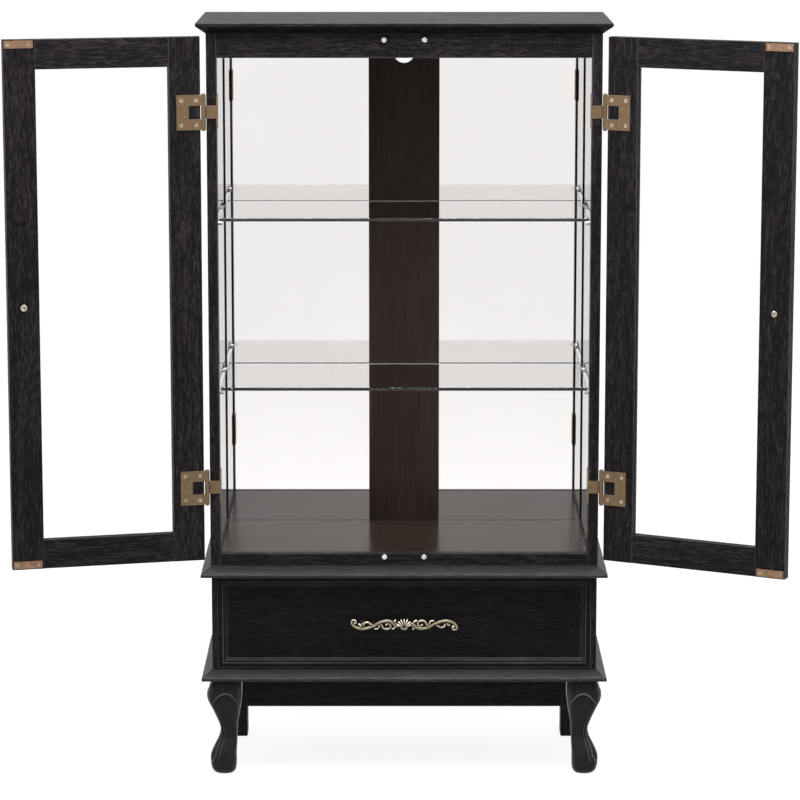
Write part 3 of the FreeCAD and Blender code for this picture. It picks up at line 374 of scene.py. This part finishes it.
def add_piece(name, mesh, body, slot, material, *nodes):
    """A shown piece that rides on a body and stands for CAD nodes."""
    piece = bpy.data.objects.new(name, mesh)
    bpy.context.scene.collection.objects.link(piece)
    mesh.materials.clear()
    mesh.materials.append(material)
    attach(piece, body)
    if nodes:
        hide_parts(*nodes)
    return piece


def eased(node, slot, material, width=0.9 * MM):
    """A CAD node with its edges rounded as sanding or polishing leaves them."""
    mesh = frame["nodes"][node].data.copy()
    shape = bmesh.new()
    shape.from_mesh(mesh)
    bmesh.ops.remove_doubles(shape, verts=shape.verts, dist=WELD)
    flat = math.radians(0.5)
    bmesh.ops.dissolve_limit(shape, angle_limit=flat, verts=shape.verts, edges=shape.edges)
    shape.to_mesh(mesh)
    shape.free()
    for word in ("custom_normal", "sharp_edge", "sharp_face"):
        if word in mesh.attributes:
            mesh.attributes.remove(mesh.attributes[word])
    piece = add_piece("shown_" + node, mesh, BODY_OF[node], slot, material, node)
    mesh.shade_smooth()
    rounding = piece.modifiers.new("rounding", "BEVEL")
    rounding.width = width
    rounding.segments = 2
    rounding.limit_method = "ANGLE"
    rounding.angle_limit = math.radians(40)
    rounding.harden_normals = True


def smooth_line(points, steps):
    """Points on a smooth curve through the given ones, each a tuple of numbers."""
    given = [np.array(point, float) for point in points]
    given = [2 * given[0] - given[1]] + given + [2 * given[-1] - given[-2]]
    made = []
    for first, start, end, last in zip(given, given[1:], given[2:], given[3:]):
        for step in range(steps):
            t = step / steps
            made.append(
                0.5 * (2 * start + (end - first) * t + (2 * first - 5 * start + 4 * end - last) * t**2
                       + (3 * start - first - 3 * end + last) * t**3)
            )
    made.append(given[-2])
    return made


def ring_faces(shape, rings):
    """Quads between rings of vertices, with both ends closed."""
    for lower, upper in zip(rings, rings[1:]):
        count = len(lower)
        for index in range(count):
            after = (index + 1) % count
            shape.faces.new((lower[index], lower[after], upper[after], upper[index]))
    shape.faces.new(list(reversed(rings[0])))
    shape.faces.new(rings[-1])


# ---- Drawer pull --------------------------------------------------------------------------

# Across, up and thickness in millimetres along each right-hand stem of the pull, from its middle.
PULL_STEM = (
    (8, 2.6, 1.8), (13.5, 1.0, 2.3), (19.5, -4.4, 2.7), (27, -6, 2.7), (37, -3.6, 2.5), (46, 1.3, 2.4),
    (55.5, 5, 2.6), (64.5, 6.2, 2.7), (74, 3.6, 2.4), (79.6, -1.8, 2.0), (79, -6.6, 1.8),
    (74.8, -7.0, 1.6), (73.4, -3.4, 1.7), (76.0, -2.4, 2.0),
)
PULL_CURL = (
    (37, -3.0, 1.7), (34, 1.4, 1.8), (31.5, 5.1, 1.9), (26.6, 6.6, 1.9), (21.4, 4.4, 1.7),
    (21.2, -0.2, 1.5), (25, -1.8, 1.5), (28, 0.8, 2.0),
)
PULL_LEAVES = (
    ((47, 1.5, 1.5), (51, -1.4, 1.8), (56, -4.0, 1.6), (61, -2.4, 1.2), (61.6, 1.2, 1.5)),
    ((37.5, -1.5, 1.2), (38.6, 3.0, 1.5), (41, 6.0, 1.3), (45.6, 6.2, 0.8)),
    ((66.5, 5.5, 1.6), (66, 1.5, 2.2), (69.5, -1.2, 1.5)),
    ((13, 1.0, 1.4), (15.5, 5.2, 1.6), (19, 6.6, 1.1)),
    ((12, -1.5, 1.5), (15, -5.0, 1.8), (12.5, -7.6, 1.2)),
)
UPPER_RIBS = 7
LOWER_RIBS = 5

# How far the stems' middle lies behind the pull's front, in millimetres, and how deep a stem is
# for its width. Its ends are thinner by the taper.
PULL_PROUD = 4.4
PULL_RELIEF = 1.2
TIP_TAPER = 0.45

# The posts' place across and up, and their radii at the two ends, in millimetres.
POST_OFFSET = (64, 1.5)
POST_RADII = (3.6, 3.0)


def scroll(shape, points, turned, face):
    """A tapering cast stem in the plane of the pull, half-turned to the left where turned is -1."""
    rings = []
    line = smooth_line(points, 7)
    sides = 16
    shortest_run = 1e-6
    for index, (across, up, thick) in enumerate(line):
        ahead = line[min(index + 1, len(line) - 1)]
        behind = line[max(index - 1, 0)]
        run = np.array([ahead[0] - behind[0], ahead[1] - behind[1]])
        run = run / max(np.linalg.norm(run), shortest_run)
        if index in (0, len(line) - 1):
            thick = thick * TIP_TAPER
        ring = []
        for side in range(sides):
            angle = 2 * math.pi * side / sides
            out = thick * math.cos(angle)
            x = turned * (across - run[1] * out)
            z = turned * (up + run[0] * out)
            y = face - thick * PULL_RELIEF * math.sin(angle)
            ring.append(shape.verts.new((x, y, z)))
        rings.append(ring)
    ring_faces(shape, rings)


def lobe(shape, root, angle, length, width, face):
    """One rounded rib of the palmette, growing from its root."""
    turn = Matrix.Rotation(-angle, 4, "Y")
    half_sizes = (length / 2, width * 0.9, width / 2, 1)
    grow = Matrix.Translation((length / 2, 0, 0)) @ Matrix.Diagonal(half_sizes)
    move = Matrix.Translation((root[0], face, root[1])) @ turn @ grow
    bmesh.ops.create_uvsphere(shape, u_segments=12, v_segments=8, radius=1, matrix=move)


def palmette(shape, face):
    """A fan of long ribs above and short ones below, in the middle of the pull."""
    for rib in range(UPPER_RIBS):
        angle = math.radians(22 + 136 * rib / (UPPER_RIBS - 1))
        reach = 12.5 + 1.2 * math.sin(angle)
        lobe(shape, (0, -3.6), angle, reach, 3.3, face - 0.8)
    for rib in range(LOWER_RIBS):
        angle = math.radians(-150 + 30 * rib)
        lobe(shape, (0, -2.6), angle, 6.4, 3.0, face - 0.3)


def pull_posts(shape, face, base):
    """Two round posts from the casting to the drawer front."""
    across, up = POST_OFFSET
    upright = Matrix.Rotation(math.pi / 2, 4, "X")
    for side in (-1, 1):
        place = Matrix.Translation((side * across, (base + face) / 2, side * up)) @ upright
        bmesh.ops.create_cone(
            shape, cap_ends=True, segments=24, radius1=POST_RADII[0], radius2=POST_RADII[1],
            depth=base - face, matrix=place,
        )


def make_pull(material):
    """Two mirrored S scrolls with curls and leaves, a palmette in the middle and two posts."""
    low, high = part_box("drawer_pull")
    middle = (low + high) / 2
    face = PULL_PROUD - (high.y - low.y) / MM / 2
    shape = bmesh.new()
    for turned in (1, -1):
        for points in (PULL_STEM, PULL_CURL) + PULL_LEAVES:
            scroll(shape, points, turned, face)
    palmette(shape, face)
    pull_posts(shape, face, high.y / MM - middle.y / MM)
    into_place = Matrix.Translation(middle) @ Matrix.Scale(MM, 4)
    bmesh.ops.transform(shape, matrix=into_place, verts=shape.verts)
    bmesh.ops.recalc_face_normals(shape, faces=shape.faces)
    mesh = bpy.data.meshes.new("pull_casting")
    shape.to_mesh(mesh)
    shape.free()
    piece = add_piece("pull_casting", mesh, "drawer", "antique_brass", material, "drawer_pull")
    merge = piece.modifiers.new("merge", "REMESH")
    merge.mode = "VOXEL"
    merge.voxel_size = 0.42 * MM
    merge.use_smooth_shade = True
    soften = piece.modifiers.new("soften", "SMOOTH")
    soften.factor = 0.5
    soften.iterations = 2


# ---- Front legs ---------------------------------------------------------------------------

# Height, then how far the outer and the inner outline lie from the stand's side, in millimetres.
LEG_OUTLINE = (
    (150, 0.6, -44), (142, 3.6, -44), (132, 7.3, -44), (120, 7.6, -43.6), (108, 4.2, -42.6),
    (96, -0.7, -41), (84, -5.6, -38.6), (74, -9.4, -37), (66, -10.6, -36.6), (56, -8.4, -36.4),
    (46, -3.4, -36.2), (36, 1.6, -35.6), (28, 4.2, -35.4), (20, 4.6, -35.6), (12, 3.8, -35.2),
    (6, 2.0, -34.2), (2, -1.2, -31.8), (0, -4.5, -29),
)
LEG_SIDES = 128

# The carved arch on a knee face, in millimetres.
ARCH_MIDDLE = -19.5
ARCH_CREST = 127
ARCH_HALF = 17
ARCH_DROP = 13
ARCH_END = 1.1
ARCH_FLOOR = 78
LIP_STEP = 0.35
HOLLOW_DEPTH = 3.6
HOLLOW_REACH = 11
RIDGE_HEIGHT = 1.5
RIDGE_RISE = 1.8
RIDGE_WIDTH = 1.5

# The carved tongue on a foot: heights in millimetres, widths as angles about the leg.
TONGUE_FOOT = 18
TONGUE_TIP = 84
TONGUE_HEIGHT = 2.4
TONGUE_EDGE = 0.022
GROOVE_DEPTH = 2.0
GROOVE_OFFSET = 0.05
GROOVE_WIDTH = 0.045


def leg_ring(height, outer, inner):
    """A section between square and round, as (across, forward, angle) for each point."""
    half = (outer - inner) / 2
    center = (outer + inner) / 2
    square = np.interp(height, (60, 95, 120), (2.6, 3.6, 7.0))
    points = []
    for side in range(LEG_SIDES):
        angle = 2 * math.pi * side / LEG_SIDES
        across, forward = math.cos(angle), math.sin(angle)
        reach = (abs(across) ** square + abs(forward) ** square) ** (-1 / square)
        points.append((center + half * reach * across, center + half * reach * forward, angle))
    return points


def knee_cut(along, height):
    """Depth of the hollow under the carved arch on a knee face, below 0 on the arch's ridge."""
    offset = (along - ARCH_MIDDLE) / ARCH_HALF
    if abs(offset) > ARCH_END:
        return 0.0
    crest = ARCH_CREST - ARCH_DROP * abs(offset) ** 2.2
    below = crest - height
    lip = 1 / (1 + math.exp(-below / LIP_STEP))
    hollow = HOLLOW_DEPTH * lip * math.exp(-max(below, 0) / HOLLOW_REACH)
    ridge = RIDGE_HEIGHT * math.exp(-((below + RIDGE_RISE) / RIDGE_WIDTH) ** 2)
    fade = max(0.0, 1 - abs(offset / ARCH_END) ** 6)
    return fade * (hollow - ridge)


def foot_tongue(angle, height):
    """Height of the carved tongue that runs down the outer corner of the foot."""
    if not TONGUE_FOOT < height < TONGUE_TIP:
        return 0.0
    away = abs(angle - math.pi / 4)
    half = np.interp(height, (22, 30, 48, TONGUE_TIP), (0.16, 0.34, 0.26, 0.05))
    inside = 1 / (1 + math.exp((away - half) / TONGUE_EDGE))
    groove = math.exp(-((away - half - GROOVE_OFFSET) / GROOVE_WIDTH) ** 2)
    ends = np.interp(height, (20, 23, 70, TONGUE_TIP), (0, 1, 1, 0))
    return ends * (TONGUE_HEIGHT * inside - GROOVE_DEPTH * groove)


def carved_point(across, forward, angle, height):
    """A point of the leg's outline with the tongue raised and the arches cut."""
    lift = foot_tongue(angle, height) * math.sin(math.pi / 4)
    across += lift
    forward += lift
    if height > ARCH_FLOOR:
        quarter = math.pi / 4
        if angle < quarter or angle > 7 * quarter:
            across -= knee_cut(forward, height)
        elif quarter < angle < 3 * quarter:
            forward -= knee_cut(across, height)
    return across, forward


def make_leg(word, side, material):
    """A cabriole leg with a carved arch on both knee faces and a tongue on the foot."""
    low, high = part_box(f"{word}_front_leg")
    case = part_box(f"{word}_stand_side")
    outer_side = max(abs(case[0].x), abs(case[1].x)) / MM
    front = case[0].y / MM
    shape = bmesh.new()
    rings = []
    for height, outer, inner in reversed(smooth_line(LEG_OUTLINE, 10)):
        height = min(max(height, 0.0), (high.z - low.z) / MM)
        ring = []
        for across, forward, angle in leg_ring(height, outer, inner):
            across, forward = carved_point(across, forward, angle, height)
            place = (side * (outer_side + across) * MM, (front - forward) * MM, height * MM)
            ring.append(shape.verts.new(place))
        rings.append(ring)
    ring_faces(shape, rings)
    bmesh.ops.recalc_face_normals(shape, faces=shape.faces)
    mesh = bpy.data.meshes.new(f"carved_{word}_leg")
    shape.to_mesh(mesh)
    shape.free()
    mesh.shade_smooth()
    add_piece(f"carved_{word}_leg", mesh, "cabinet", "black_wood", material, f"{word}_front_leg")


# ---- Screws -------------------------------------------------------------------------------

# A screw's proportions, as shares of its head's radius.
HEAD_DOME = 0.16
HEAD_DEPTH = 0.4
RECESS_DEPTH = 0.42
RECESS_HALF = 0.17
RECESS_REACH = 0.62
SHANK = 0.45
SHANK_START = 0.75
HEAD_RINGS = 14
HEAD_SIDES = 48


def loose_parts(node):
    """The points of each separate solid of a CAD node."""
    shape = bmesh.new()
    shape.from_mesh(frame["nodes"][node].data)
    bmesh.ops.remove_doubles(shape, verts=shape.verts, dist=WELD)
    shape.verts.ensure_lookup_table()
    seen = set()
    parts = []
    for start in shape.verts:
        if start.index in seen:
            continue
        seen.add(start.index)
        waiting = [start]
        points = []
        while waiting:
            vert = waiting.pop()
            points.append(vert.co.copy())
            for edge in vert.link_edges:
                other = edge.other_vert(vert)
                if other.index not in seen:
                    seen.add(other.index)
                    waiting.append(other)
        parts.append(np.array(points))
    shape.free()
    return parts


def screw_place(points):
    """The middle of a screw head's outer face, the way it faces and its radius."""
    center = (points.max(0) + points.min(0)) / 2
    _, _, axes = np.linalg.svd(points - points.mean(0), full_matrices=False)
    axis = axes[0]
    along = (points - center) @ axis
    radial = np.linalg.norm(points - center - np.outer(along, axis), axis=1)
    if radial[along > 0].max() < radial[along < 0].max():
        axis, along = -axis, -along
    middle = points[along > along.max() - 0.2 * MM].mean(0)
    return Vector(middle), Vector(axis), float(radial.max())


def head_dip(across, up, reach):
    """How deep a screw head lies below its top, for a head of radius 1: its dome and cross recess."""
    dome = HEAD_DOME * reach**4
    arm = min(abs(across), abs(up)) / RECESS_HALF
    recess = RECESS_DEPTH / (1 + math.exp((arm - 1) * 7)) / (1 + math.exp((reach - RECESS_REACH) * 30))
    return dome + recess


def make_screws(node, slot, material):
    """Pan-head screws with a cross recess, in place of a CAD node's plain ones."""
    turns = [2 * math.pi * side / HEAD_SIDES for side in range(HEAD_SIDES)]
    shape = bmesh.new()
    for points in loose_parts(node):
        middle, axis, radius = screw_place(points)
        length = float(((points - np.array(middle)) @ np.array(axis)).min()) / radius
        upright = Vector((0, 0, 1)).rotation_difference(axis).to_matrix().to_4x4()
        driven = Matrix.Rotation(0.6 + 40 * middle.z, 4, "Z")
        place = Matrix.Translation(middle) @ upright @ driven @ Matrix.Scale(radius, 4)
        made = []
        for ring in range(1, HEAD_RINGS + 1):
            reach = ring / HEAD_RINGS
            verts = []
            for angle in turns:
                across, up = reach * math.cos(angle), reach * math.sin(angle)
                verts.append(shape.verts.new(place @ Vector((across, up, -head_dip(across, up, reach)))))
            made.append(verts)
        for reach, depth in ((1, -HEAD_DEPTH), (SHANK, -SHANK_START), (SHANK, length)):
            made.append([
                shape.verts.new(place @ Vector((reach * math.cos(angle), reach * math.sin(angle), depth)))
                for angle in turns
            ])
        ring_faces(shape, made)
    bmesh.ops.recalc_face_normals(shape, faces=shape.faces)
    mesh = bpy.data.meshes.new("shown_" + node)
    shape.to_mesh(mesh)
    shape.free()
    mesh.shade_smooth()
    mesh.set_sharp_from_angle(angle=math.radians(35))
    add_piece("shown_" + node, mesh, BODY_OF[node], slot, material, node)


# ---- Stage --------------------------------------------------------------------------------

# The floor's half width in metres, how much light it reflects and how much it gives off.
STAGE_REACH = 30.0
STAGE_SHADE = 0.13
STAGE_GLOW = 0.86


def plain_white(name, shade):
    """Pale matt stage that also gives off some light, so that shadows on it stay soft."""
    shader = Shader(name)
    clouds = shader.noise(shader.place((1.2, 1.2, 1.2)), detail=2)
    shader.color(shader.ramp(clouds, (0.3, (shade * 0.985,) * 3), (0.7, (shade,) * 3)))
    shader.plain(roughness=0.75, specular_ior_level=0.1)
    shader.plain(emission_color=(1, 1, 1, 1), emission_strength=STAGE_GLOW)
    return shader.material


def make_stage():
    """A pale floor that runs out of sight on every side."""
    mesh = bpy.data.meshes.new("floor")
    corners = [(x * STAGE_REACH, y * STAGE_REACH, 0) for x, y in ((-1, -1), (1, -1), (1, 1), (-1, 1))]
    mesh.from_pydata(corners, [], [(0, 1, 2, 3)])
    mesh.materials.append(plain_white("pale_floor", STAGE_SHADE))
    floor = bpy.data.objects.new("floor", mesh)
    bpy.context.scene.collection.objects.link(floor)


def soft_light(name, place, target, width, height, watts):
    data = bpy.data.lights.new(name, "AREA")
    data.shape = "RECTANGLE"
    data.size = width
    data.size_y = height
    data.energy = watts
    light = bpy.data.objects.new(name, data)
    light.location = place
    light.rotation_euler = (Vector(target) - Vector(place)).to_track_quat("-Z", "Y").to_euler()
    bpy.context.scene.collection.objects.link(light)


def make_lights():
    """A bright pale room: even light from all round, two front softboxes, one overhead and one behind."""
    world = bpy.data.worlds.new("room")
    world.use_nodes = True
    background = world.node_tree.nodes["Background"]
    background.inputs["Color"].default_value = (1.0, 0.985, 0.98, 1)
    background.inputs["Strength"].default_value = 1.0
    bpy.context.scene.world = world
    soft_light("left_softbox", (-2.4, -1.6, 2.4), (0, 0, 0.6), 1.4, 1.4, 34)
    soft_light("right_softbox", (2.6, -1.4, 2.2), (0, 0, 0.6), 1.2, 1.2, 22)
    soft_light("overhead_softbox", (0, -0.85, 2.3), (0, -0.13, 0.3), 2.2, 0.8, 100)
    soft_light("rear_softbox", (0.3, 1.6, 3.0), (0, 1.5, 0.0), 3.4, 1.4, 25)


# ---- Assembly -----------------------------------------------------------------------------

SIDES = (("left", -1), ("right", 1))
UPRIGHT = ("left_rear_stile", "right_rear_stile", "left_front_stile", "right_front_stile",
           "left_stand_side", "right_stand_side", "rear_legs")
FRONT_TO_BACK = ("left_side_rails", "right_side_rails", "side_aprons")
RAW_BOARDS = ("back_panel", "stand_back_panel", "drawer_back", "drawer_bottom", "drawer_sides")


def show_wood():
    grain = {axis: black_wood(f"black_oak_{axis}", axis) for axis in "xyz"}
    # Painted shade: a darker copy of the oak for the drawer and aprons, with brighter edges as painted highlight.
    shaded_oak = black_wood("shaded_black_oak", "x", depth=0.36, lighter_tone=0.15)
    satin = black_wood("satin_black_oak", "x", sheen=0.27)
    for node in UPRIGHT:
        eased(node, "black_wood", grain["z"])
    eased("cornice_board", "black_wood", grain["x"])
    for node in ("middle_board", "base_board"):
        eased(node, "black_wood", satin)
    # The drawer front and the aprons get the painted-shade copy of the oak.
    for node in ("drawer_front", "front_apron", "rear_apron"):
        eased(node, "black_wood", shaded_oak)
    for node in ("header_rail", "deck_rail"):
        eased(node, "inner_wood", grain["x"])
    for node in FRONT_TO_BACK:
        eased(node, "black_wood", grain["y"])
    for word, side in SIDES:
        turn = -side * math.radians(180 - OPENING[f"{word}_door_hinge"])
        rail_grain = black_wood(f"black_oak_{word}_rails", "x", turn)
        for part in ("hinge_stile", "free_stile"):
            eased(f"{word}_door_{part}", "black_wood", grain["z"])
        for part in ("top_rail", "bottom_rail"):
            eased(f"{word}_door_{part}", "black_wood", rail_grain)
    eased("deck_panel", "inner_wood", lacquered_wood("lacquered_deck", "x"), 0.5 * MM)
    eased("center_board", "inner_wood", lacquered_wood("lacquered_board", "z"), 0.5 * MM)
    board = plain_board("raw_board")
    for node in RAW_BOARDS:
        eased(node, "plain_board", board, 0.4 * MM)


def show_glass():
    clear = sheet_glass("clear_float", (0.985, 0.99, 0.985))
    shelf = sheet_glass("shelf_float", (0.76, 0.755, 0.745))
    mirror = mirror_glass("silvered_glass")
    for word, _ in SIDES:
        eased(f"{word}_door_glass", "clear_glass", clear, 0.3 * MM)
        eased(f"{word}_side_glass", "clear_glass", clear, 0.3 * MM)
        eased(f"{word}_mirror", "mirror", mirror, 0.3 * MM)
    for word in ("lower", "upper"):
        eased(f"{word}_glass_shelf", "shelf_glass", shelf, 0.8 * MM)


def show_metal():
    """Every metal piece. A metal's colours are its dark and its light patches and its scuffed edges."""
    bronze = metal(
        "hinge_bronze_patina", (0.125, 0.082, 0.047), (0.165, 0.112, 0.068), (0.42, 0.33, 0.22), 0.46
    )
    copper = metal("strike_copper_plate", (0.17, 0.10, 0.06), (0.27, 0.165, 0.105), (0.5, 0.36, 0.25), 0.4)
    steel = metal("bright_steel_plate", (0.42, 0.42, 0.43), (0.66, 0.66, 0.67), (0.85, 0.85, 0.86), 0.24)
    brass = metal("knob_brass", (0.12, 0.08, 0.035), (0.42, 0.31, 0.15), (0.8, 0.66, 0.4), 0.3)
    screws = metal("dull_screw_steel", (0.20, 0.18, 0.15), (0.44, 0.40, 0.34), (0.8, 0.77, 0.7), 0.3)
    for word, _ in SIDES:
        eased(f"{word}_door_leaves", "hinge_bronze", bronze, 0.25 * MM)
        eased(f"{word}_strike_plates", "strike_copper", copper, 0.2 * MM)
        eased(f"{word}_knob", "antique_brass", brass, 0.2 * MM)
        make_screws(f"{word}_door_screws", "bright_steel", screws)
    eased("hinge_frame_leaves", "hinge_bronze", bronze, 0.25 * MM)
    eased("hinge_pins", "hinge_bronze", bronze, 0.15 * MM)
    make_screws("hinge_frame_screws", "bright_steel", screws)
    make_screws("pull_screws", "bright_steel", steel)
    for node in ("catch_magnets", "shelf_pins", "case_runners", "drawer_runners"):
        eased(node, "bright_steel", steel, 0.2 * MM)
    make_pull(antique_brass("gilt_casting"))


def show_legs():
    # Carved legs: their ridges are lightened by scuffing and a painted highlight.
    carved = black_wood("carved_black_wood", "z", sheen=0.14, lighter_tone=0.12, carved=True)
    for word, side in SIDES:
        make_leg(word, side, carved)


make_camera()
make_stage()
make_lights()
show_wood()
show_legs()
show_glass()
show_metal()
bpy.context.scene.view_settings.view_transform = "Standard"
